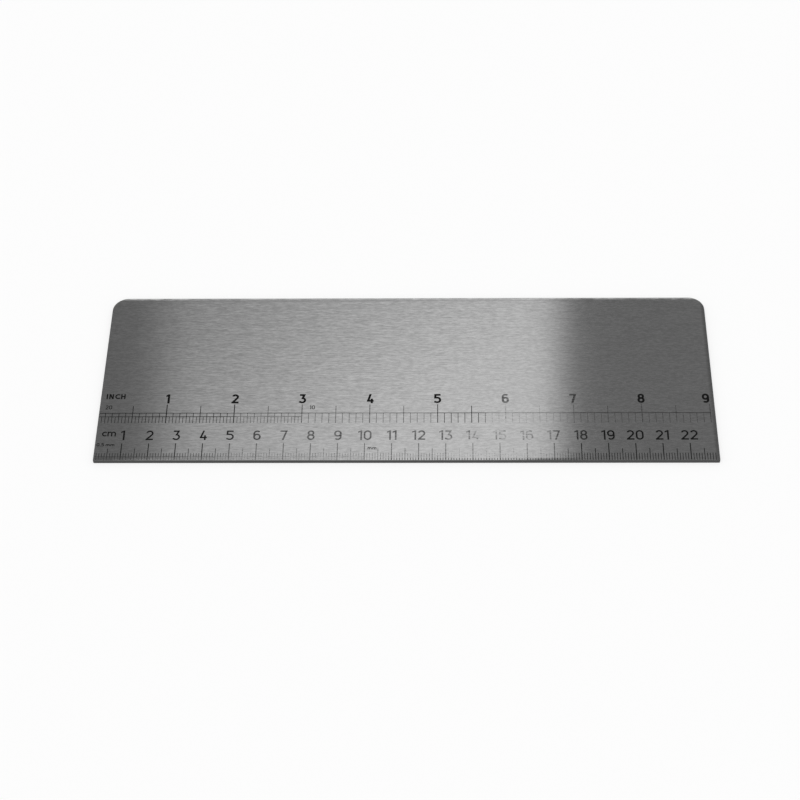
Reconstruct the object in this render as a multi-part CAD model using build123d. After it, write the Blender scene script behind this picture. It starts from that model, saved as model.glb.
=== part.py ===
"""Icing smoother: a flat stainless-steel blade with two etched scales along its working edge.

The blade lies on its back face, centred on the origin. X runs along the blade away from its zero end,
Y from the working edge to the grip edge, and Z out of the face that carries the scales.
"""

import os

from build123d import *

# Blade
blade_length = 230.5
blade_width = 80.0
blade_thickness = 1.5
grip_corner_radius = 6.0
working_corner_radius = 0.5
edge_round = 0.25
underside_chamfer = 0.1

# Etching: the grooves are flat-bottomed and stop short of the rounded edges
etch_depth = 0.1
etch_border = 0.05
far_end_margin = 1.0
cutter_overrun = 0.5

# Widths of the marks and of the lines that join them
long_mark_width = 0.36
middle_mark_width = 0.27
millimetre_mark_width = 0.24
half_millimetre_mark_width = 0.14
half_millimetre_line_width = 0.12
tenth_mark_width = 0.22
twentieth_mark_width = 0.20
inch_line_width = 0.28

# Centimetre scale: marks that stand on one foot line beside the working edge
millimetre_pitch = 1.0
marks_per_half_centimetre = 5
marks_per_centimetre = 10
mark_foot_gap = 0.1
millimetre_mark_length = 3.2
half_centimetre_mark_length = 5.35
centimetre_mark_length = 7.75
half_millimetre_row_count = 100
half_millimetre_line_height = 1.6

# Inch scale: marks that hang from a line across the blade, the taller ones also rising above it
inch_pitch = 25.4
marks_per_half_inch = 5
marks_per_inch = 10
inch_line_height = 22.4
tenth_mark_drop = 4.7
half_inch_mark_rise = 3.4
inch_mark_rise = 4.15
twentieth_row_count = 30
twentieth_line_drop = 1.7

# Derived places
end_inset = edge_round + etch_border
mark_foot = edge_round + mark_foot_gap
tenth_pitch = inch_pitch / marks_per_inch
last_mark_limit = blade_length - far_end_margin
etch_floor = blade_thickness - etch_depth


def standing_mark(place, width, low, high):
    """Rectangle of a mark square to the working edge, placed from the zero end and that edge."""
    return Pos(place, (low + high) / 2) * Rectangle(width, high - low)


def joining_line(height, width, left, right):
    """Rectangle of a line along the blade that joins the marks of a row."""
    return Pos((left + right) / 2, height) * Rectangle(right - left, width)


def millimetre_marks():
    """Marks of the centimetre scale: every fifth is taller and every tenth the tallest."""
    marks = []
    for number in range(1, int(last_mark_limit / millimetre_pitch) + 1):
        width, length = millimetre_mark_width, millimetre_mark_length
        if number % marks_per_centimetre == 0:
            width, length = long_mark_width, centimetre_mark_length
        elif number % marks_per_half_centimetre == 0:
            width, length = middle_mark_width, half_centimetre_mark_length
        marks.append(standing_mark(number * millimetre_pitch, width, mark_foot, mark_foot + length))
    return marks


def half_millimetre_row():
    """Fine marks midway between the first millimetre marks, under the line that joins them."""
    line_height = mark_foot + half_millimetre_line_height
    row_end = half_millimetre_row_count * millimetre_pitch
    marks = [joining_line(line_height, half_millimetre_line_width, millimetre_pitch / 2, row_end)]
    for number in range(half_millimetre_row_count):
        place = (number + 1 / 2) * millimetre_pitch
        marks.append(standing_mark(place, half_millimetre_mark_width, mark_foot, line_height))
    return marks


def tenth_inch_marks():
    """Marks of the inch scale and the line they hang from: half inches and inches cross the line."""
    count = int(last_mark_limit / tenth_pitch)
    foot = inch_line_height - tenth_mark_drop
    marks = [joining_line(inch_line_height, inch_line_width, end_inset, count * tenth_pitch)]
    for number in range(1, count + 1):
        width, rise = tenth_mark_width, 0
        if number % marks_per_inch == 0:
            width, rise = long_mark_width, inch_mark_rise
        elif number % marks_per_half_inch == 0:
            width, rise = middle_mark_width, half_inch_mark_rise
        marks.append(standing_mark(number * tenth_pitch, width, foot, inch_line_height + rise))
    return marks


def twentieth_inch_row():
    """Fine marks midway between the first tenths, hanging from a second line below the first."""
    line_height = inch_line_height - twentieth_line_drop
    foot = inch_line_height - tenth_mark_drop
    marks = [joining_line(line_height, inch_line_width, end_inset, twentieth_row_count * tenth_pitch)]
    for number in range(twentieth_row_count):
        place = (number + 1 / 2) * tenth_pitch
        marks.append(standing_mark(place, twentieth_mark_width, foot, line_height))
    return marks


def raised(marks, height):
    """Fuse the marks into one sketch and extrude it upwards from the floor of the etching."""
    sketch = Pos(-blade_length / 2, -blade_width / 2, etch_floor) * (Sketch() + marks)
    return extrude(sketch, height)


def blank():
    """Sheet blank: large corners on the grip edge, and an upper rim rounded for the hand."""
    outline = Rectangle(blade_length, blade_width)
    outline = fillet(outline.vertices().group_by(Axis.Y)[-1], grip_corner_radius)
    outline = fillet(outline.vertices().group_by(Axis.Y)[0], working_corner_radius)
    sheet = extrude(outline, blade_thickness)
    sheet = fillet(sheet.edges().group_by(Axis.Z)[-1], edge_round)
    return chamfer(sheet.edges().group_by(Axis.Z)[0], underside_chamfer)


def blade():
    """Blank with every mark of both scales etched into its upper face."""
    cut_height = etch_depth + cutter_overrun
    centimetre_etching = raised(millimetre_marks() + half_millimetre_row(), cut_height)
    inch_etching = raised(tenth_inch_marks() + twentieth_inch_row(), cut_height)
    return blank() - [centimetre_etching, inch_etching]


def centimetre_scale():
    """Black filling of the millimetre marks, flush with the blade's face."""
    return raised(millimetre_marks(), etch_depth)


def inch_scale():
    """Black filling of the tenth-inch marks and their line, flush with the blade's face."""
    return raised(tenth_inch_marks(), etch_depth)


os.makedirs("parts", exist_ok=True)
for node in (blade, centimetre_scale, inch_scale):
    export_step(node(), "parts/" + node.__name__ + ".step")
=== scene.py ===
"""Icing smoother: the finish, the numerals and the photograph's view of a ruled steel blade.

Places are in metres in the solid model's frame. X runs along the blade from the zero end of its scales to
the far end, Y from the working edge to the grip edge, and Z out of the face that carries the scales.
"""

import logging
import math
from dataclasses import dataclass, field
from enum import Enum
from typing import Callable, Mapping, Optional, Sequence, Union

import bmesh
import bpy
from mathutils import Matrix, Vector


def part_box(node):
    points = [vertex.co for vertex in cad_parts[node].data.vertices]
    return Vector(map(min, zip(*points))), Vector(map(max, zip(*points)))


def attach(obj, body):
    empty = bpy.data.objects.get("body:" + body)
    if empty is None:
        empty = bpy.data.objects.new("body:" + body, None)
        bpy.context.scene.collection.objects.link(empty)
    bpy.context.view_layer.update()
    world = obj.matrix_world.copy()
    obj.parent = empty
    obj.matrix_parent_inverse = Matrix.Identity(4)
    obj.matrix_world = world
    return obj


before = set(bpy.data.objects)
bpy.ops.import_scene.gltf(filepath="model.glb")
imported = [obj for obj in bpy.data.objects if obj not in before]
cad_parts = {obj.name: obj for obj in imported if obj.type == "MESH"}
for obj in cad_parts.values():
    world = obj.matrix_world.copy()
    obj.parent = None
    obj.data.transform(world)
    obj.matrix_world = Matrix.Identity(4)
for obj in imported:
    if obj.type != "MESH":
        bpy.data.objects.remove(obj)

MM = 0.001
UP = Vector((0, 0, 1))
STREAK_MIDDLE = 0.5

log = logging.getLogger("icing_smoother")


class Slot(Enum):
    """The two finishes."""

    STEEL = "steel"
    BLACK = "scale_black"


class Alignment(Enum):
    """Which point of a word stands at the place it is given."""

    START = "start"
    MIDDLE = "middle"


@dataclass(frozen=True)
class Reading:
    """A number that changes over a surface or over the sky, and that Python's operators work on."""

    board: "Board"
    socket: bpy.types.NodeSocket

    def __add__(self, other: "Number") -> "Reading":
        """Sum."""
        return self.board.maths("ADD", self, other)

    def __radd__(self, other: "Number") -> "Reading":
        """Sum with a plain number in front."""
        return self.board.maths("ADD", other, self)

    def __sub__(self, other: "Number") -> "Reading":
        """Difference."""
        return self.board.maths("SUBTRACT", self, other)

    def __rsub__(self, other: "Number") -> "Reading":
        """Difference with a plain number in front."""
        return self.board.maths("SUBTRACT", other, self)

    def __mul__(self, other: "Number") -> "Reading":
        """Product."""
        return self.board.maths("MULTIPLY", self, other)

    def __rmul__(self, other: "Number") -> "Reading":
        """Product with a plain number in front."""
        return self.board.maths("MULTIPLY", other, self)

    def __abs__(self) -> "Reading":
        """Size without its sign."""
        return self.board.maths("ABSOLUTE", self)

    def rise(self, start: float, end: float) -> "Reading":
        """Runs smoothly from 0 at start to 1 at end.

        Args:
            start: Reading up to which the result is 0.
            end: Reading from which the result is 1; it may be the smaller of the two.

        Returns:
            The smoothed share.
        """
        settings = {"interpolation_type": "SMOOTHSTEP", "clamp": True}
        low, high = min(start, end), max(start, end)
        node = self.board.add("ShaderNodeMapRange", settings, {0: self, 1: low, 2: high, 3: 0.0, 4: 1.0})
        share = Reading(self.board, node.outputs[0])
        return share if start < end else 1 - share

    def within(self, span: tuple[float, float], blur: float) -> "Reading":
        """Is 1 well inside a span and 0 outside it.

        Args:
            span: Its two ends, the lower one first.
            blur: Length over which the result rises inwards from each end.

        Returns:
            The smoothed share.
        """
        start, end = span
        return self.rise(start, start + blur) * self.rise(end, end - blur)

    def at_least(self, limit: "Number") -> "Reading":
        """The larger of the reading and a limit."""
        return self.board.maths("MAXIMUM", self, limit)

    def at_most(self, limit: "Number") -> "Reading":
        """The smaller of the reading and a limit."""
        return self.board.maths("MINIMUM", self, limit)


Number = Union[Reading, float]


@dataclass(frozen=True)
class Grain:
    """One layer of noise, drawn out along the blade as brushing is.

    The length and the breadth are a usual streak's. The detail counts the finer layers within it, and the
    shift moves the pattern, so that two layers don't repeat each other.
    """

    length: float
    breadth: float
    detail: float
    shift: float = 0.0
    finer_share: float = 0.6
    distortion: float = 0.05


class Board:
    """The nodes of one finish or of the sky."""

    def __init__(self, tree: bpy.types.NodeTree) -> None:
        """Takes a node tree and empties it."""
        self.tree = tree
        self.tree.nodes.clear()

    def add(
        self,
        kind: str,
        settings: Optional[Mapping[str, object]] = None,
        inputs: Optional[Mapping[Union[int, str], object]] = None,
    ) -> bpy.types.Node:
        """Adds one node.

        Args:
            kind: Blender's type name of the node.
            settings: Values of the node's own settings, which are set first.
            inputs: Values or links of its sockets, by name or number.

        Returns:
            The node.
        """
        node = self.tree.nodes.new(kind)
        for name, value in (settings or {}).items():
            setattr(node, name, value)
        for key, value in (inputs or {}).items():
            source = value.socket if isinstance(value, Reading) else value
            if isinstance(source, bpy.types.NodeSocket):
                self.tree.links.new(source, node.inputs[key])
            else:
                node.inputs[key].default_value = source
        return node

    def maths(self, operation: str, *terms: Number) -> Reading:
        """Adds one Math node on one to three terms and gives its result."""
        node = self.add("ShaderNodeMath", {"operation": operation}, dict(enumerate(terms)))
        return Reading(self, node.outputs[0])

    def place(self) -> dict[str, Reading]:
        """Gives the place on the object, in metres, as the readings X, Y and Z."""
        coordinates = self.add("ShaderNodeTexCoord").outputs["Object"]
        parts = self.add("ShaderNodeSeparateXYZ", None, {0: coordinates})
        return {name: Reading(self, parts.outputs[name]) for name in "XYZ"}

    def streaks(self, grain: Grain) -> Reading:
        """Spreads one layer of streaks over the object.

        Args:
            grain: The layer.

        Returns:
            A number that stays mostly between 0.3 and 0.7.
        """
        scale = (1 / grain.length, 1 / grain.breadth, 1 / grain.breadth)
        placed = {
            "Vector": self.add("ShaderNodeTexCoord").outputs["Object"],
            "Scale": scale,
            "Location": (grain.shift, grain.shift, 0),
        }
        noise = {
            "Vector": self.add("ShaderNodeMapping", None, placed).outputs[0],
            "Scale": 1.0,
            "Detail": grain.detail,
            "Roughness": grain.finer_share,
            "Distortion": grain.distortion,
        }
        return Reading(self, self.add("ShaderNodeTexNoise", None, noise).outputs[0])

    def tint(self, share: Number, first: float, second: float) -> bpy.types.NodeSocket:
        """Grey that runs from the first level to the second with a share from 0 to 1."""
        settings = {"data_type": "RGBA", "clamp_factor": True}
        node = self.add("ShaderNodeMix", settings, {0: share, 6: grey(first), 7: grey(second)})
        return node.outputs[2]

    def multiply(self, first: bpy.types.NodeSocket, second: bpy.types.NodeSocket) -> bpy.types.NodeSocket:
        """Product of two colours."""
        settings = {"data_type": "RGBA", "blend_type": "MULTIPLY"}
        return self.add("ShaderNodeMix", settings, {0: 1.0, 6: first, 7: second}).outputs[2]

    def finish(self, inputs: Mapping[Union[int, str], object]) -> None:
        """Adds the surface shader with its values and links, and the output."""
        shader = self.add("ShaderNodeBsdfPrincipled", None, inputs)
        self.add("ShaderNodeOutputMaterial", None, {"Surface": shader.outputs[0]})


def grey(level: float) -> tuple[float, float, float, float]:
    """Opaque neutral colour of one level."""
    return (level, level, level, 1.0)


def new_material(name: str) -> tuple[bpy.types.Material, Board]:
    """Makes an empty material and the board for its nodes."""
    material = bpy.data.materials.new(name)
    material.use_nodes = True
    return material, Board(material.node_tree)


@dataclass(frozen=True)
class BrushedSteel:
    """Stainless sheet brushed along the blade.

    The cut edge all round has a dark base colour, painted shade for the dark surroundings that it
    reflects. The face rolls off a little towards both long edges, and a strip along the far end is darker
    with painted shade for the dark reflection of its rounded edge. Tones are base colours, and tilts are
    slopes.
    """

    dark_streak: float = 0.511
    light_streak: float = 0.624
    tone_grain: Grain = Grain(1.7 * MM, 0.45 * MM, 2.0)
    tone_range: tuple[float, float] = (0.34, 0.66)
    band_depth: float = 0.03
    band_grain: Grain = Grain(14.0 * MM, 1.4 * MM, 1.0, 7.0)
    band_range: tuple[float, float] = (0.3, 0.7)
    # painted shade along the far end, standing in for the dark reflection of its rounded edge
    end_shade: float = 0.30
    end_shade_reach: float = 1.9 * MM
    end_shade_full_share: float = 1 / 3
    # painted shade: dark base colour of the cut edge, for the dark surroundings that it reflects
    cut_edge: float = 0.075
    level_range: tuple[float, float] = (0.97, 0.999)
    roughness: float = 0.07
    roughness_spread: float = 0.03
    hairline_grain: Grain = Grain(3.0 * MM, 0.12 * MM, 1.0, 3.0)
    edge_roughness: float = 0.40
    groove_depth: float = 0.008 * MM
    groove_grain: Grain = Grain(14.0 * MM, 0.55 * MM, 1.0, 11.0)
    groove_tilt: float = 0.105
    tilt_grain: Grain = Grain(3.6 * MM, 0.45 * MM, 2.0, 17.0)
    edge_roll: float = 0.10
    edge_roll_reach: float = 2.4 * MM

    def material(self) -> bpy.types.Material:
        """Makes the material.

        Returns:
            A metal whose streaks change its tone and its gloss and tilt it across the blade.
        """
        material, board = new_material("brushed_steel")
        normal = board.add("ShaderNodeNewGeometry").outputs["Normal"]
        parts = board.add("ShaderNodeSeparateXYZ", None, {0: normal})
        on_face = abs(Reading(board, parts.outputs["Z"])).rise(*self.level_range)
        hairlines = board.streaks(self.hairline_grain)
        face_roughness = self.roughness + self.roughness_spread * (hairlines - STREAK_MIDDLE)
        relief = {
            "Strength": 1.0,
            "Distance": self.groove_depth,
            "Height": board.streaks(self.groove_grain),
            "Normal": self.tilted(board, normal),
        }
        board.finish(
            {
                "Base Color": self.colour(board, on_face),
                "Metallic": 1.0,
                "Roughness": on_face * face_roughness + (1 - on_face) * self.edge_roughness,
                "Normal": board.add("ShaderNodeBump", None, relief).outputs[0],
            }
        )
        return material

    def colour(self, board: Board, on_face: Reading) -> bpy.types.NodeSocket:
        """Lays the tones over one another.

        Args:
            board: The material's nodes.
            on_face: Share that is 1 on the flat faces and 0 on the cut edge.

        Returns:
            The base colour.
        """
        tones = board.streaks(self.tone_grain).rise(*self.tone_range)
        bands = board.streaks(self.band_grain).rise(*self.band_range)
        streaked = board.tint(tones, self.dark_streak, self.light_streak)
        banded = board.multiply(streaked, board.tint(bands, 1 - self.band_depth, 1 + self.band_depth))
        _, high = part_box("blade")
        from_far_end = high.x - board.place()["X"]
        # painted shade darkens a strip along the far end
        painted_end_shade = from_far_end.rise(self.end_shade_reach, self.end_shade_reach * self.end_shade_full_share)
        face = board.multiply(banded, board.tint(painted_end_shade, 1.0, 1 - self.end_shade))
        settings = {"data_type": "RGBA", "clamp_factor": True}
        # the cut edge takes the painted shade's dark base colour
        mixed = board.add("ShaderNodeMix", settings, {0: on_face, 6: grey(self.cut_edge), 7: face})
        return mixed.outputs[2]

    def tilted(self, board: Board, normal: bpy.types.NodeSocket) -> bpy.types.NodeSocket:
        """Tilts the surface across the blade, by its grooves and where it rolls off at a long edge.

        Args:
            board: The material's nodes.
            normal: The surface's own direction.

        Returns:
            The new direction.
        """
        low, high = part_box("blade")
        up = board.place()["Y"]
        at_grip_edge = (high.y - up).rise(self.edge_roll_reach, 0.0)
        at_working_edge = (up - low.y).rise(self.edge_roll_reach, 0.0)
        tilt = self.groove_tilt * (board.streaks(self.tilt_grain) - STREAK_MIDDLE)
        tilt = tilt + self.edge_roll * (at_grip_edge - at_working_edge)
        across = board.add("ShaderNodeCombineXYZ", None, {"Y": tilt}).outputs[0]
        turned = board.add("ShaderNodeVectorMath", {"operation": "ADD"}, {0: normal, 1: across}).outputs[0]
        return board.add("ShaderNodeVectorMath", {"operation": "NORMALIZE"}, {0: turned}).outputs[0]


@dataclass(frozen=True)
class Spared:
    """A line of a scale, or its marks of one pitch, that takes less of a stretch's painted highlight.

    Its middle, its reach to both sides of that and its pitch are measured along the named axis, X or Y.
    The share is how much of the painted highlight it escapes.
    """

    axis: str
    reach: float
    share: float
    middle: float = 0.0
    pitch: float = 0.0
    fade_share: float = 0.5

    def reading(self, place: Mapping[str, Reading]) -> Reading:
        """Factor for the painted highlight, from the distances along and across the blade."""
        distance = abs(place[self.axis] - self.middle)
        if self.pitch:
            distance = distance.board.maths("PINGPONG", distance, self.pitch / 2)
        return 1 - self.share * distance.rise(self.reach * (1 + self.fade_share), self.reach)


@dataclass(frozen=True)
class WornStretch:
    """A stretch of a scale where painted highlight lightens its black towards steel.

    Places are measured from the zero end. The share is how much painted highlight there is between
    full_from and full_to, where nothing is spared.
    """

    start: float
    full_from: float
    full_to: float
    end: float
    share: float
    spared: tuple[Spared, ...] = ()

    def reading(self, place: Mapping[str, Reading]) -> Reading:
        """Share of painted highlight, from the distances along and across the blade."""
        along = place["X"]
        # painted highlight: the black turns towards steel where the highlight crosses the stretch
        highlight = self.share * along.rise(self.start, self.full_from) * along.rise(self.end, self.full_to)
        for part in self.spared:
            highlight = highlight * part.reading(place)
        return highlight


@dataclass(frozen=True)
class EtchedBlack:
    """Black filling of the etched marks."""

    name: str
    stretches: tuple[WornStretch, ...]
    black: float = 0.005
    steel: float = 0.57
    roughness: float = 0.45
    worn_roughness: float = 0.08
    patchiness: float = 1.1
    fleck_grain: Grain = Grain(2.5 * MM, 0.5 * MM, 2.0, 5.0)
    fleck_range: tuple[float, float] = (0.3, 0.7)
    bare_from: float = 0.08
    shine: float = 0.06

    def material(self) -> bpy.types.Material:
        """Makes the material.

        Returns:
            A dark filling that painted highlight lightens towards steel along the given stretches.
        """
        material, board = new_material(self.name)
        low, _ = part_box("blade")
        place = board.place()
        measured = {"X": place["X"] - low.x, "Y": place["Y"] - low.y}
        # painted highlight, lightening the black towards steel where the highlight falls
        thin = sum((stretch.reading(measured) for stretch in self.stretches), start=0.0)
        flecks = board.streaks(self.fleck_grain).rise(*self.fleck_range)
        painted_highlight = thin * (1 + self.patchiness * (flecks - STREAK_MIDDLE))
        highlight_metal = painted_highlight.rise(0.0, self.bare_from)
        gloss = board.maths("MULTIPLY_ADD", highlight_metal, self.worn_roughness - self.roughness, self.roughness)
        board.finish(
            {
                "Base Color": board.tint(painted_highlight, self.black, self.steel),
                "Metallic": highlight_metal,
                "Roughness": gloss,
                "Specular IOR Level": self.shine,
            }
        )
        return material


@dataclass(frozen=True)
class PaleFloor:
    """White table top, which the camera and the steel see mostly as plain white."""

    white: float = 0.95
    roughness: float = 0.9
    plain_share: float = 0.7

    def material(self) -> bpy.types.Material:
        """Makes the material.

        Returns:
            A matt white that keeps part of the blade's shadow.
        """
        material, board = new_material("pale_floor")
        values = {"Base Color": grey(self.white), "Roughness": self.roughness, "Specular IOR Level": 0.0}
        matt = board.add("ShaderNodeBsdfPrincipled", None, values)
        plain = board.add("ShaderNodeEmission", None, {"Color": grey(1.0), "Strength": 1.0})
        rays = board.add("ShaderNodeLightPath").outputs
        kinds = ("Is Camera Ray", "Is Glossy Ray", "Is Transmission Ray")
        seen, *others = (Reading(board, rays[kind]) for kind in kinds)
        for other in others:
            seen = seen.at_least(other)
        share = seen * self.plain_share
        mixed = board.add("ShaderNodeMixShader", None, {0: share, 1: matt.outputs[0], 2: plain.outputs[0]})
        board.add("ShaderNodeOutputMaterial", None, {"Surface": mixed.outputs[0]})
        return material


@dataclass(frozen=True)
class Straight:
    """A straight move of the pen."""

    run: Vector


@dataclass(frozen=True)
class Turn:
    """A move of the pen round a centre, anticlockwise where the angle is positive."""

    centre: Vector
    degrees: float


Move = Union[Straight, Turn]


def point(x: float, y: float) -> Vector:
    """Point in the plane of the face."""
    return Vector((x, y, 0))


def heading(degrees: float) -> Vector:
    """Unit direction in the plane of the face, anticlockwise from X."""
    return point(math.cos(math.radians(degrees)), math.sin(math.radians(degrees)))


def touching_angle(centre: Vector, radius: float, outside: Vector) -> float:
    """Angle round a circle of the point where a line from outside touches it, on the anticlockwise side.

    Args:
        centre: Centre of the circle.
        radius: Radius of the circle.
        outside: Point that the line comes from.

    Returns:
        The angle in degrees, anticlockwise from X.
    """
    away = outside - centre
    return math.degrees(math.atan2(away.y, away.x) + math.acos(radius / away.length))


def remade(source: bpy.types.Object) -> bpy.types.Mesh:
    """Mesh of an object with its modifiers applied; the object goes."""
    evaluated = source.evaluated_get(bpy.context.evaluated_depsgraph_get())
    mesh = bpy.data.meshes.new_from_object(evaluated)
    bpy.data.objects.remove(source)
    return mesh


@dataclass
class Pen:
    """A flat pen that draws one character as a thin slab, with its foot at the origin."""

    height: float
    width: float
    weight: float
    thickness: float
    step_degrees: float = 7.5
    merge_share: float = 0.001
    strokes: list[bpy.types.Object] = field(default_factory=list)

    @property
    def left(self) -> float:
        """Middle of a stroke along the left side."""
        return self.weight / 2

    @property
    def right(self) -> float:
        """Middle of a stroke along the right side."""
        return self.width - self.weight / 2

    @property
    def middle(self) -> float:
        """Half the width."""
        return self.width / 2

    @property
    def foot(self) -> float:
        """Middle of a stroke along the foot."""
        return self.weight / 2

    @property
    def head(self) -> float:
        """Middle of a stroke along the head."""
        return self.height - self.weight / 2

    def draw(self, nib: tuple[Vector, Vector], moves: Sequence[Move]) -> None:
        """Draws one stroke and keeps it as a closed slab.

        Args:
            nib: The two ends of the pen's edge where the stroke starts.
            moves: The moves that the edge makes, one after the other.
        """
        stroke = bmesh.new()
        edge = stroke.edges.new([stroke.verts.new(end) for end in nib])
        for move in moves:
            if isinstance(move, Turn):
                steps = max(1, round(abs(move.degrees) / self.step_degrees))
                made = bmesh.ops.spin(
                    stroke,
                    geom=[edge, *edge.verts],
                    cent=move.centre,
                    axis=UP,
                    dvec=(0, 0, 0),
                    angle=math.radians(move.degrees),
                    steps=steps,
                    use_merge=False,
                    use_duplicate=False,
                )["geom_last"]
            else:
                made = bmesh.ops.extrude_edge_only(stroke, edges=[edge])["geom"]
            ends = [item for item in made if isinstance(item, bmesh.types.BMVert)]
            if isinstance(move, Straight):
                bmesh.ops.translate(stroke, verts=ends, vec=move.run)
            edge = next(joint for joint in ends[0].link_edges if joint.other_vert(ends[0]) in ends)
        bmesh.ops.remove_doubles(stroke, verts=stroke.verts[:], dist=self.weight * self.merge_share)
        raise_slab(stroke, self.thickness)
        mesh = bpy.data.meshes.new("stroke")
        stroke.to_mesh(mesh)
        stroke.free()
        self.strokes.append(bpy.data.objects.new("stroke", mesh))

    def follow(self, start: Vector, direction: float, moves: Sequence[Move]) -> None:
        """Draws a stroke whose ends are cut square.

        Args:
            start: Middle of the stroke's first end.
            direction: Angle in degrees in which it sets off.
            moves: Its moves.
        """
        half = heading(direction + 90) * self.weight / 2
        self.draw((start - half, start + half), moves)

    def bar(self, start: float, end: float, level: float) -> None:
        """Draws a bar along X."""
        self.follow(point(start, level), 0, [Straight(point(end - start, 0))])

    def stem(self, across: float, low: float, high: float) -> None:
        """Draws an upright."""
        self.follow(point(across, low), 90, [Straight(point(0, high - low))])

    def slant(self, start: Vector, end: Vector) -> None:
        """Draws a slanting stroke whose ends are cut level."""
        run = end - start
        half = point(self.weight * run.length / abs(run.y) / 2, 0)
        self.draw((start - half, start + half), [Straight(run)])

    def ring(self, low: float, high: float, left: float, right: float) -> None:
        """Draws a closed loop of two half circles and the straights between them.

        Args:
            low: Middle of the stroke at the loop's foot.
            high: Middle of the stroke at its head.
            left: Middle of the stroke at its left.
            right: Middle of the stroke at its right.
        """
        tall, wide = high - low, right - left
        radius = min(tall, wide) / 2
        first, second = point(left + radius, low + radius), point(right - radius, high - radius)
        if tall > wide:
            straight = point(0, tall - wide)
            moves = [Straight(straight), Turn(second, -180), Straight(-straight), Turn(first, -180)]
            self.follow(point(left, low + radius), 90, moves)
        else:
            straight = point(wide - tall, 0)
            moves = [Straight(straight), Turn(second, -180), Straight(-straight), Turn(first, -180)]
            self.follow(point(left + radius, high), 0, moves)

    def joined(self, name: str) -> bpy.types.Mesh:
        """Unites the strokes.

        Args:
            name: Name of the mesh.

        Returns:
            One closed mesh of the character.
        """
        body, *others = self.strokes
        for stroke in self.strokes:
            bpy.context.scene.collection.objects.link(stroke)
        for other in others:
            union = body.modifiers.new("union", "BOOLEAN")
            union.operation = "UNION"
            union.solver = "EXACT"
            union.object = other
        mesh = remade(body)
        for other in others:
            bpy.data.objects.remove(other)
        self.strokes = []
        mesh.name = name
        return mesh


def raise_slab(flat: bmesh.types.BMesh, thickness: float) -> None:
    """Gives flat faces a thickness upwards and turns all faces outwards."""
    made = bmesh.ops.extrude_face_region(flat, geom=flat.faces[:])["geom"]
    raised = [item for item in made if isinstance(item, bmesh.types.BMVert)]
    bmesh.ops.translate(flat, verts=raised, vec=UP * thickness)
    bmesh.ops.recalc_face_normals(flat, faces=flat.faces[:])


@dataclass
class Characters:
    """Plain numerals and unit letters of one size and weight, each drawn once and then repeated."""

    name: str
    height: float
    width: float
    weight: float
    gap: float
    thickness: float
    one_width_share: float = 0.54
    zero_width_share: float = 1.04
    wide_letter_share: float = 1.35
    drawn: dict[str, bpy.types.Mesh] = field(default_factory=dict)

    def width_of(self, character: str) -> float:
        """Width of one character."""
        shares = {"1": self.one_width_share, "0": self.zero_width_share, "m": self.wide_letter_share}
        narrow = {".": self.weight, "I": self.weight}
        return narrow.get(character, self.width * shares.get(character, 1.0))

    def length_of(self, word: str) -> float:
        """Length of a word."""
        return sum(self.width_of(character) for character in word) + self.gap * (len(word) - 1)

    def pen(self, character: str) -> Pen:
        """Fresh pen for one character."""
        return Pen(self.height, self.width_of(character), self.weight, self.thickness)

    def mesh_of(self, character: str) -> bpy.types.Mesh:
        """Mesh of one character, drawn the first time it is asked for."""
        if character not in self.drawn:
            pen = self.pen(character)
            DRAWINGS[character](pen)
            self.drawn[character] = pen.joined(self.name + "_" + str(ord(character)))
        return self.drawn[character]

    def write(self, sheet: bmesh.types.BMesh, word: str, foot: Vector, alignment: Alignment) -> None:
        """Adds a word to a mesh.

        Args:
            sheet: The mesh that takes the word.
            word: The characters.
            foot: Place of the word's start or middle, on its foot line.
            alignment: Which of the two it is.
        """
        pen_place = foot.copy()
        if alignment is Alignment.MIDDLE:
            pen_place.x -= self.length_of(word) / 2
        for character in word:
            if character != " ":
                first = len(sheet.verts)
                sheet.from_mesh(self.mesh_of(character))
                sheet.verts.ensure_lookup_table()
                bmesh.ops.translate(sheet, verts=sheet.verts[first:], vec=pen_place)
            pen_place.x += self.width_of(character) + self.gap


def draw_zero(pen: Pen) -> None:
    """Tall loop."""
    pen.ring(pen.foot, pen.head, pen.left, pen.right)


def draw_one(pen: Pen) -> None:
    """Upright with a short flag and no foot bar."""
    flag_drop = pen.height * 0.11
    pen.stem(pen.right, 0, pen.height)
    edge = point(0, pen.weight)
    top = point(pen.right, pen.height)
    run = point(-pen.right, -flag_drop)
    pen.draw((top - edge, top), [Straight(run)])


def draw_two(pen: Pen) -> None:
    """Round head, a slanting back and a foot bar."""
    radius = (pen.right - pen.left) / 2
    centre = point(pen.middle, pen.head - radius)
    heel = point(pen.weight * 0.55, pen.foot)
    leaving = touching_angle(centre, radius, heel)
    entering = 160.0
    start = centre + heading(entering) * radius
    back = heel - (centre + heading(leaving) * radius)
    pen.follow(start, entering - 90, [Turn(centre, leaving - entering), Straight(back)])
    pen.bar(0, pen.width, pen.foot)


def draw_bowl(pen: Pen, start_x: float, height: float) -> None:
    """Draws the open bowl of a three or a five, from its upper left round to its lower left.

    Args:
        pen: The pen.
        start_x: Where the bowl's upper stroke begins.
        height: Height of the bowl's upper stroke above the foot line.
    """
    radius = (height - pen.foot) / 2
    centre = point(pen.right - radius, pen.foot + radius)
    tail = point(pen.weight * 0.15, pen.foot + pen.height * 0.10)
    leaving = -112.0
    lower = centre + heading(leaving) * radius
    last = Straight(heading(leaving - 90) * (tail - lower).length)
    moves = [Straight(point(centre.x - start_x, 0)), Turn(centre, leaving - 90), last]
    pen.follow(point(start_x, height), 0, moves)


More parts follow.
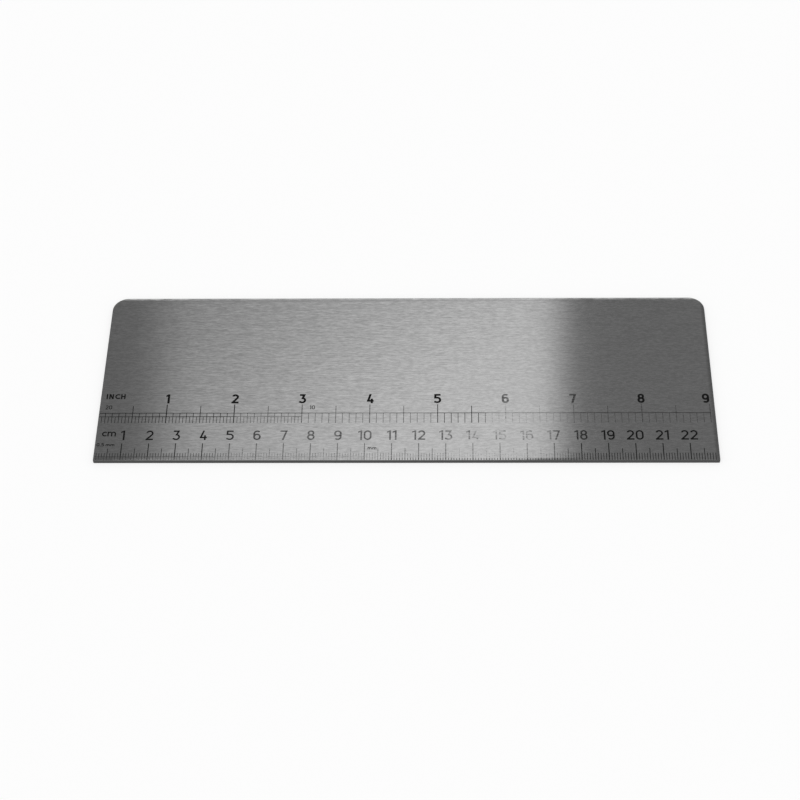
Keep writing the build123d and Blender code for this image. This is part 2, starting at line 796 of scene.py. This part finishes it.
def draw_three(pen: Pen) -> None:
    """Flat head, a slanting neck and a round bowl."""
    waist = pen.height * 0.56
    pen.bar(pen.weight * 0.35, pen.right, pen.head)
    neck_top = point(pen.right - pen.weight * 0.25, pen.height)
    pen.slant(neck_top, point(pen.middle * 0.92, waist - pen.weight / 2))
    draw_bowl(pen, pen.middle * 0.86, waist)


def draw_four(pen: Pen) -> None:
    """Open four: a slanting stroke down to the bar, and a short upright through the bar."""
    bar_level = pen.height * 0.26
    pen.slant(point(pen.width * 0.56, pen.height), point(pen.weight * 0.62, bar_level - pen.weight / 2))
    pen.bar(pen.weight * 0.2, pen.width, bar_level)
    pen.stem(pen.width * 0.74, 0, pen.height * 0.50)


def draw_five(pen: Pen) -> None:
    """Flat head, an upright neck and a round bowl."""
    waist = pen.height * 0.60
    pen.bar(pen.left, pen.right + pen.weight * 0.2, pen.head)
    pen.slant(point(pen.left + pen.weight * 0.12, pen.height), point(pen.left, waist - pen.weight / 2))
    draw_bowl(pen, pen.left, waist)


def draw_six(pen: Pen) -> None:
    """Loop with an arm that rises from its left side and curves over."""
    loop_head = pen.foot + (pen.head - pen.foot) * 0.60
    pen.ring(pen.foot, loop_head, pen.left, pen.right)
    radius = (pen.right - pen.left) / 2
    low = point(pen.left, pen.foot + radius)
    centre = point(pen.left + radius * 1.02, pen.head - radius * 1.02)
    pen.follow(low, 90, [Straight(point(0, centre.y - low.y)), Turn(centre, -138)])


def draw_seven(pen: Pen) -> None:
    """Flat head and a slanting back."""
    pen.bar(0, pen.right, pen.head)
    pen.slant(point(pen.width - pen.weight * 0.6, pen.height), point(pen.width * 0.36, 0))


def draw_eight(pen: Pen) -> None:
    """Two loops, the upper one smaller."""
    waist = pen.foot + (pen.head - pen.foot) * 0.54
    inset = pen.width * 0.05
    pen.ring(pen.foot, waist, pen.left, pen.right)
    pen.ring(waist, pen.head, pen.left + inset, pen.right - inset)


def draw_nine(pen: Pen) -> None:
    """A six turned half round."""
    draw_six(pen)
    turned = Matrix.Rotation(math.pi, 4, "Z")
    for stroke in pen.strokes:
        stroke.data.transform(Matrix.Translation(point(pen.width, pen.height)) @ turned)


def draw_point(pen: Pen) -> None:
    """Square dot."""
    pen.stem(pen.middle, 0, pen.weight)


def draw_capital_i(pen: Pen) -> None:
    """Upright."""
    pen.stem(pen.middle, 0, pen.height)


def draw_capital_n(pen: Pen) -> None:
    """Two uprights and a slanting stroke."""
    pen.stem(pen.left, 0, pen.height)
    pen.stem(pen.right, 0, pen.height)
    pen.slant(point(pen.left + pen.weight * 0.1, pen.height), point(pen.right - pen.weight * 0.1, 0))


def draw_round_c(pen: Pen) -> None:
    """Round letter, capital or small, open on the right."""
    opening = 46.0
    radius = (pen.head - pen.foot) / 2
    centre = point(pen.left + radius, pen.foot + radius)
    pen.follow(centre + heading(opening) * radius, opening + 90, [Turn(centre, 360 - 2 * opening)])


def draw_capital_h(pen: Pen) -> None:
    """Two uprights and a bar."""
    pen.stem(pen.left, 0, pen.height)
    pen.stem(pen.right, 0, pen.height)
    pen.bar(pen.left, pen.right, pen.height / 2)


def draw_small_m(pen: Pen) -> None:
    """Three uprights under two arches."""
    radius = (pen.right - pen.left) / 4
    pen.stem(pen.left, 0, pen.height)
    shoulder = pen.head - radius
    for start in (pen.left, pen.middle):
        centre = point(start + radius, shoulder)
        pen.follow(point(start, shoulder), 90, [Turn(centre, -180), Straight(point(0, -shoulder))])


DRAWINGS: dict[str, Callable[[Pen], None]] = {
    "0": draw_zero,
    "1": draw_one,
    "2": draw_two,
    "3": draw_three,
    "4": draw_four,
    "5": draw_five,
    "6": draw_six,
    "7": draw_seven,
    "8": draw_eight,
    "9": draw_nine,
    ".": draw_point,
    "I": draw_capital_i,
    "N": draw_capital_n,
    "C": draw_round_c,
    "H": draw_capital_h,
    "c": draw_round_c,
    "m": draw_small_m,
}


@dataclass(frozen=True)
class Face:
    """The blade's ruled face, on which places are measured from the zero end and the working edge."""

    ink_depth: float = 0.01 * MM
    ink_rise: float = 0.01 * MM

    def corner(self) -> Vector:
        """Point of the face's plane over the corner between the zero end and the working edge."""
        low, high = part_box("blade")
        return Vector((low.x, low.y, high.z))

    def at(self, along: float, up: float) -> Vector:
        """Place for the underside of a printed character."""
        return self.corner() + point(along, up) - UP * self.ink_depth

    @property
    def ink_thickness(self) -> float:
        """Thickness of a printed character, from a little under the face to a little over it."""
        return self.ink_depth + self.ink_rise


def finished_piece(name: str, made: bmesh.types.BMesh, material: bpy.types.Material) -> bpy.types.Object:
    """Turns a mesh into a piece of the object.

    Args:
        name: Name of the piece.
        made: Its mesh, in place.
        material: Its finish.

    Returns:
        The piece, riding on the blade's body.
    """
    mesh = bpy.data.meshes.new(name)
    made.to_mesh(mesh)
    made.free()
    mesh.materials.clear()
    mesh.materials.append(material)
    piece = bpy.data.objects.new(name, mesh)
    bpy.context.scene.collection.objects.link(piece)
    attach(piece, "root")
    log.info("%s: %d faces", name, len(mesh.polygons))
    return piece


@dataclass
class Numerals:
    """The numbers of both scales and their unit letters."""

    face: Face
    centimetre: float = 10.0 * MM
    centimetres: int = 22
    centimetre_foot: float = 9.65 * MM
    inch: float = 25.4 * MM
    inches: int = 9
    inch_foot: float = 27.1 * MM
    last_inch_shift: float = 1.25 * MM

    def build(self) -> None:
        """Makes the pieces and dresses them."""
        self.centimetre_numbers()
        self.inch_numbers()
        self.unit_letters()

    def centimetre_numbers(self) -> None:
        """Numbers that stand over the centimetre marks."""
        type_face = Characters(
            name="centimetre",
            height=4.46 * MM,
            width=2.78 * MM,
            weight=0.63 * MM,
            gap=0.6 * MM,
            thickness=self.face.ink_thickness,
        )
        sheet = bmesh.new()
        for number in range(1, self.centimetres + 1):
            place = self.face.at(number * self.centimetre, self.centimetre_foot)
            type_face.write(sheet, str(number), place, Alignment.MIDDLE)
        # painted highlight: the numerals' black is lightened towards steel along these stretches
        stretches = (
            WornStretch(40 * MM, 72 * MM, 174 * MM, 190 * MM, 0.28),
            WornStretch(120 * MM, 149 * MM, 160 * MM, 178 * MM, 0.45),
        )
        finished_piece("centimetre_numerals", sheet, EtchedBlack("centimetre_black", stretches).material())

    def inch_numbers(self) -> None:
        """Bolder numbers that stand over the inch marks; the last is moved in from the blade's end."""
        type_face = Characters(
            name="inch",
            height=4.4 * MM,
            width=2.7 * MM,
            weight=0.84 * MM,
            gap=0.6 * MM,
            thickness=self.face.ink_thickness,
        )
        sheet = bmesh.new()
        for number in range(1, self.inches + 1):
            shift = self.last_inch_shift if number == self.inches else 0
            place = self.face.at(number * self.inch - shift, self.inch_foot)
            type_face.write(sheet, str(number), place, Alignment.MIDDLE)
        # painted highlight: the numerals' black is lightened towards steel along this stretch
        stretches = (WornStretch(132 * MM, 148 * MM, 172 * MM, 196 * MM, 0.31),)
        finished_piece("inch_numerals", sheet, EtchedBlack("inch_black", stretches).material())

    def unit_letters(self) -> None:
        """Unit letters and the counts of marks per inch."""
        thickness = self.face.ink_thickness
        capitals = Characters(
            "capital", height=2.4 * MM, width=1.72 * MM, weight=0.52 * MM, gap=0.5 * MM, thickness=thickness
        )
        small = Characters(
            "small", height=2.2 * MM, width=1.75 * MM, weight=0.48 * MM, gap=0.3 * MM, thickness=thickness,
            wide_letter_share=1.8,
        )
        counts = Characters(
            "count", height=1.9 * MM, width=1.1 * MM, weight=0.27 * MM, gap=0.25 * MM, thickness=thickness
        )
        tiny = Characters(
            "tiny", height=1.5 * MM, width=1.0 * MM, weight=0.28 * MM, gap=0.22 * MM, thickness=thickness
        )
        tiny_small = Characters(
            "tiny_small", height=1.0 * MM, width=1.1 * MM, weight=0.26 * MM, gap=0.25 * MM,
            thickness=thickness,
        )
        words = (
            (capitals, "INCH", 2.1 * MM, 29.25 * MM),
            (counts, "20", 2.2 * MM, 24.25 * MM),
            (counts, "10", 79.0 * MM, 24.2 * MM),
            (small, "cm", 2.2 * MM, 11.4 * MM),
            (tiny, "0.5", 0.7 * MM, 6.75 * MM),
            (tiny_small, "mm", 4.1 * MM, 6.75 * MM),
            (tiny_small, "mm", 101.2 * MM, 5.2 * MM),
        )
        sheet = bmesh.new()
        for type_face, word, along, up in words:
            type_face.write(sheet, word, self.face.at(along, up), Alignment.START)
        finished_piece("unit_letters", sheet, EtchedBlack("letter_black", ()).material())


@dataclass(frozen=True)
class FineRow:
    """Black filling of a row of fine marks that hang from the line which joins them."""

    name: str
    first: float
    pitch: float
    count: int
    foot: float
    line_height: float
    line_start: float
    mark_width: float
    line_width: float
    black: bpy.types.Material
    groove_depth: float = 0.1 * MM
    sunk: float = 0.01 * MM
    least_run: float = 0.001 * MM

    def build(self, face: Face) -> None:
        """Makes the comb-shaped filling, seats it in its groove and dresses it.

        Args:
            face: The face whose groove it fills.
        """
        comb = bmesh.new()
        low, high = self.line_height - self.line_width / 2, self.line_height + self.line_width / 2
        end = self.first + self.pitch * (self.count - 1) + self.pitch / 2
        edge = comb.edges.new([comb.verts.new(point(self.line_start, level)) for level in (low, high)])
        teeth: list[bmesh.types.BMEdge] = []
        for number in range(self.count):
            middle = self.first + number * self.pitch
            start = max(self.line_start + self.least_run, middle - self.mark_width / 2)
            edge = self.carry(comb, edge, start)
            corner = lower_end(edge)
            edge = self.carry(comb, edge, middle + self.mark_width / 2)
            teeth.append(comb.edges.get((corner, lower_end(edge))))
        self.carry(comb, edge, end)
        made = bmesh.ops.extrude_edge_only(comb, edges=teeth)["geom"]
        tips = [item for item in made if isinstance(item, bmesh.types.BMVert)]
        bmesh.ops.translate(comb, verts=tips, vec=point(0, self.foot - low))
        raise_slab(comb, self.groove_depth - self.sunk)
        bmesh.ops.translate(comb, verts=comb.verts[:], vec=face.corner() - UP * self.groove_depth)
        finished_piece(self.name, comb, self.black)

    def carry(self, comb: bmesh.types.BMesh, edge: bmesh.types.BMEdge, along: float) -> bmesh.types.BMEdge:
        """Extends the joining line.

        Args:
            comb: The filling's mesh.
            edge: The line's last edge.
            along: Distance from the zero end to which the line runs.

        Returns:
            The line's new last edge.
        """
        run = along - edge.verts[0].co.x
        made = bmesh.ops.extrude_edge_only(comb, edges=[edge])["geom"]
        ends = [item for item in made if isinstance(item, bmesh.types.BMVert)]
        bmesh.ops.translate(comb, verts=ends, vec=point(run, 0))
        return comb.edges.get(ends)


def lower_end(edge: bmesh.types.BMEdge) -> bmesh.types.BMVert:
    """End of an upright edge that is nearer to the working edge."""
    return min(edge.verts, key=lambda vert: vert.co.y)


@dataclass
class Blade:
    """The solid model's three nodes and the fine filling that the visual model adds."""

    face: Face

    def build(self) -> None:
        """Dresses the nodes and makes the fine rows."""
        self.dress("blade", BrushedSteel().material())
        centimetre_black = EtchedBlack("centimetre_mark_black", self.centimetre_wear())
        inch_black = EtchedBlack("inch_mark_black", self.inch_wear())
        self.dress("centimetre_scale", centimetre_black.material())
        self.dress("inch_scale", inch_black.material())
        self.half_millimetre_row(centimetre_black.material()).build(self.face)
        self.twentieth_inch_row(inch_black.material()).build(self.face)

    def centimetre_wear(self) -> tuple[WornStretch, ...]:
        """Painted highlight on the centimetre scale, which its taller marks and feet take less of."""
        centimetre_marks = Spared("X", 0.3 * MM, 0.7, pitch=10 * MM)
        taller_marks = Spared("X", 0.3 * MM, 0.22, pitch=5 * MM)
        taller_marks_further_on = Spared("X", 0.3 * MM, 0.38, pitch=5 * MM)
        feet = Spared("Y", 0.87 * MM, 0.97)
        # painted highlight: stretches where the black marks are lightened towards steel
        return (
            WornStretch(0, MM, 105 * MM, 112 * MM, 0.20, (centimetre_marks,)),
            WornStretch(43 * MM, 54 * MM, 105 * MM, 112 * MM, 0.40, (taller_marks,)),
            WornStretch(105 * MM, 112 * MM, 172 * MM, 183 * MM, 0.60, (taller_marks_further_on, feet)),
            WornStretch(127 * MM, 136 * MM, 162 * MM, 172 * MM, 0.46, (centimetre_marks, feet)),
        )

    def inch_wear(self) -> tuple[WornStretch, ...]:
        """Painted highlight on the inch scale, which its joining line takes less of."""
        joining_line = Spared("Y", 0.18 * MM, 0.5, middle=22.4 * MM)
        # painted highlight: stretches where the black marks are lightened towards steel
        return (
            WornStretch(50 * MM, 54 * MM, 124 * MM, 130 * MM, 0.32, (joining_line,)),
            WornStretch(143 * MM, 148 * MM, 174 * MM, 180 * MM, 0.78, (joining_line,)),
            WornStretch(174 * MM, 180 * MM, 230 * MM, 231 * MM, 0.52, (joining_line,)),
        )

    def half_millimetre_row(self, black: bpy.types.Material) -> FineRow:
        """Row of half millimetres under the first centimetres, in the black it is given."""
        return FineRow(
            name="half_millimetre_row",
            first=0.5 * MM,
            pitch=1.0 * MM,
            count=100,
            foot=0.35 * MM,
            line_height=1.95 * MM,
            line_start=0.5 * MM,
            mark_width=0.14 * MM,
            line_width=0.12 * MM,
            black=black,
        )

    def twentieth_inch_row(self, black: bpy.types.Material) -> FineRow:
        """Row of twentieths under the first inches, in the black it is given."""
        return FineRow(
            name="twentieth_inch_row",
            first=1.27 * MM,
            pitch=2.54 * MM,
            count=30,
            foot=17.7 * MM,
            line_height=20.7 * MM,
            line_start=0.3 * MM,
            mark_width=0.20 * MM,
            line_width=0.28 * MM,
            black=black,
        )

    def dress(self, node: str, material: bpy.types.Material) -> None:
        """Gives a node of the solid model its finish.

        Args:
            node: Name of the node.
            material: The finish.
        """
        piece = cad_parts[node]
        piece.data.materials.clear()
        piece.data.materials.append(material)
        log.info("%s: %s", node, material.name)


@dataclass(frozen=True)
class Studio:
    """A white table top under a pale sky, with a soft overhead panel between two dark screens.

    The panel's sides are angles from the plane through Y and Z, which a groove along X can't mirror away
    from, so the brushing leaves them sharp. Its brightness grows to the right and upwards, and past the
    knee it keeps only a share of the growth. Higher up it leans to the left. Spans of height are
    elevations, and the screens' reach is a span of azimuths from +Y towards +X. All angles are in degrees.
    """

    floor_reach: float = 6.0
    sky: float = 1.1
    panel_left: float = -7.895
    panel_right: float = 3.17
    left_blur: float = 0.9
    right_blur: float = 0.55
    panel_dim: float = 0.42
    panel_bright: float = 0.93
    panel_elevation_gain: float = 0.07
    panel_knee: float = 0.812
    panel_keep_share: float = 0.12
    panel_middle_height: float = 50.0
    panel_gain_height: tuple[float, float] = (46.5, 52.8)
    panel_lean: float = 1.4
    panel_lean_height: tuple[float, float] = (54.0, 70.0)
    screen_left: float = 0.18
    screen_right: float = 0.198
    screen_reach: tuple[float, float] = (-55.0, 45.0)
    screen_height: tuple[float, float] = (31.8, 84.0)
    screen_blur: float = 10.0

    def build(self) -> None:
        """Makes the table top and the sky."""
        table = bmesh.new()
        bmesh.ops.create_grid(table, x_segments=1, y_segments=1, size=self.floor_reach)
        mesh = bpy.data.meshes.new("floor")
        table.to_mesh(mesh)
        table.free()
        mesh.materials.append(PaleFloor().material())
        floor = bpy.data.objects.new("floor", mesh)
        bpy.context.scene.collection.objects.link(floor)
        self.light_sky()

    def light_sky(self) -> None:
        """Sets the sky's brightness by direction, in degrees."""
        world = bpy.context.scene.world or bpy.data.worlds.new("sky")
        bpy.context.scene.world = world
        world.use_nodes = True
        board = Board(world.node_tree)
        direction = board.add("ShaderNodeTexCoord").outputs["Generated"]
        parts = board.add("ShaderNodeSeparateXYZ", None, {0: direction})
        east, north, up = (Reading(board, parts.outputs[name]) for name in "XYZ")
        degrees = math.degrees(1)
        azimuth = board.maths("ARCTAN2", east, north) * degrees
        elevation = board.maths("ARCSINE", up) * degrees
        sideways = board.maths("ARCSINE", east) * degrees
        sideways = sideways + self.panel_lean * elevation.rise(*self.panel_lean_height)
        across = (sideways - self.panel_left) * (1 / (self.panel_right - self.panel_left))
        screen = self.screen_left + (self.screen_right - self.screen_left) * across
        screened = screen + self.panel_share(sideways) * (self.panel_level(across, elevation) - screen)
        behind = azimuth.within(self.screen_reach, self.screen_blur)
        behind = behind * elevation.within(self.screen_height, self.screen_blur)
        brightness = self.sky + behind * (screened - self.sky)
        background = board.add("ShaderNodeBackground", None, {"Color": grey(1.0), "Strength": brightness})
        board.add("ShaderNodeOutputWorld", None, {"Surface": background.outputs[0]})

    def panel_share(self, sideways: Reading) -> Reading:
        """Share of the panel against the screens, from the angle to the side."""
        left, right = self.panel_left, self.panel_right
        share = sideways.rise(left - self.left_blur, left + self.left_blur)
        return share * sideways.rise(right + self.right_blur, right - self.right_blur)

    def panel_level(self, across: Reading, elevation: Reading) -> Reading:
        """Works out the panel's brightness.

        Args:
            across: Share of the way from its left side to its right.
            elevation: Height in degrees.

        Returns:
            The brightness, held back past the knee.
        """
        lowest, highest = self.panel_gain_height
        height = elevation.at_least(lowest).at_most(highest)
        level = self.panel_dim + (self.panel_bright - self.panel_dim) * across
        level = level * (1 + self.panel_elevation_gain * (height - self.panel_middle_height))
        return level.at_most(self.panel_knee + self.panel_keep_share * (level - self.panel_knee))


@dataclass(frozen=True)
class PhotographView:
    """The camera, as fitted to the blade's edges and marks in the photograph."""

    place: tuple[float, float, float] = (14.2 * MM, -498.48 * MM, 603.02 * MM)
    focal_length_mm: float = 92.725
    tilt: float = 39.0162
    yaw: float = 1.9517
    roll: float = -1.5915
    clip_start: float = 0.05
    clip_end: float = 50.0

    def build(self) -> None:
        """Makes the camera."""
        data = bpy.data.cameras.new("photograph_view")
        data.lens = self.focal_length_mm
        data.clip_start, data.clip_end = self.clip_start, self.clip_end
        camera = bpy.data.objects.new("photograph_view", data)
        turns = ((self.yaw, "Z"), (self.tilt, "X"), (self.roll, "Z"))
        camera.matrix_world = Matrix.Translation(self.place)
        for degrees, axis in turns:
            camera.matrix_world = camera.matrix_world @ Matrix.Rotation(math.radians(degrees), 4, axis)
        bpy.context.scene.collection.objects.link(camera)
        bpy.context.scene.camera = camera


def main() -> None:
    """Builds and dresses the smoother, its table top, its light and its camera."""
    logging.basicConfig(level=logging.INFO, format="%(name)s: %(message)s")
    bpy.context.scene.view_settings.view_transform = "Standard"
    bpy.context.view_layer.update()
    face = Face()
    PhotographView().build()
    Studio().build()
    Blade(face).build()
    Numerals(face).build()


if __name__ == "__main__":
    main()
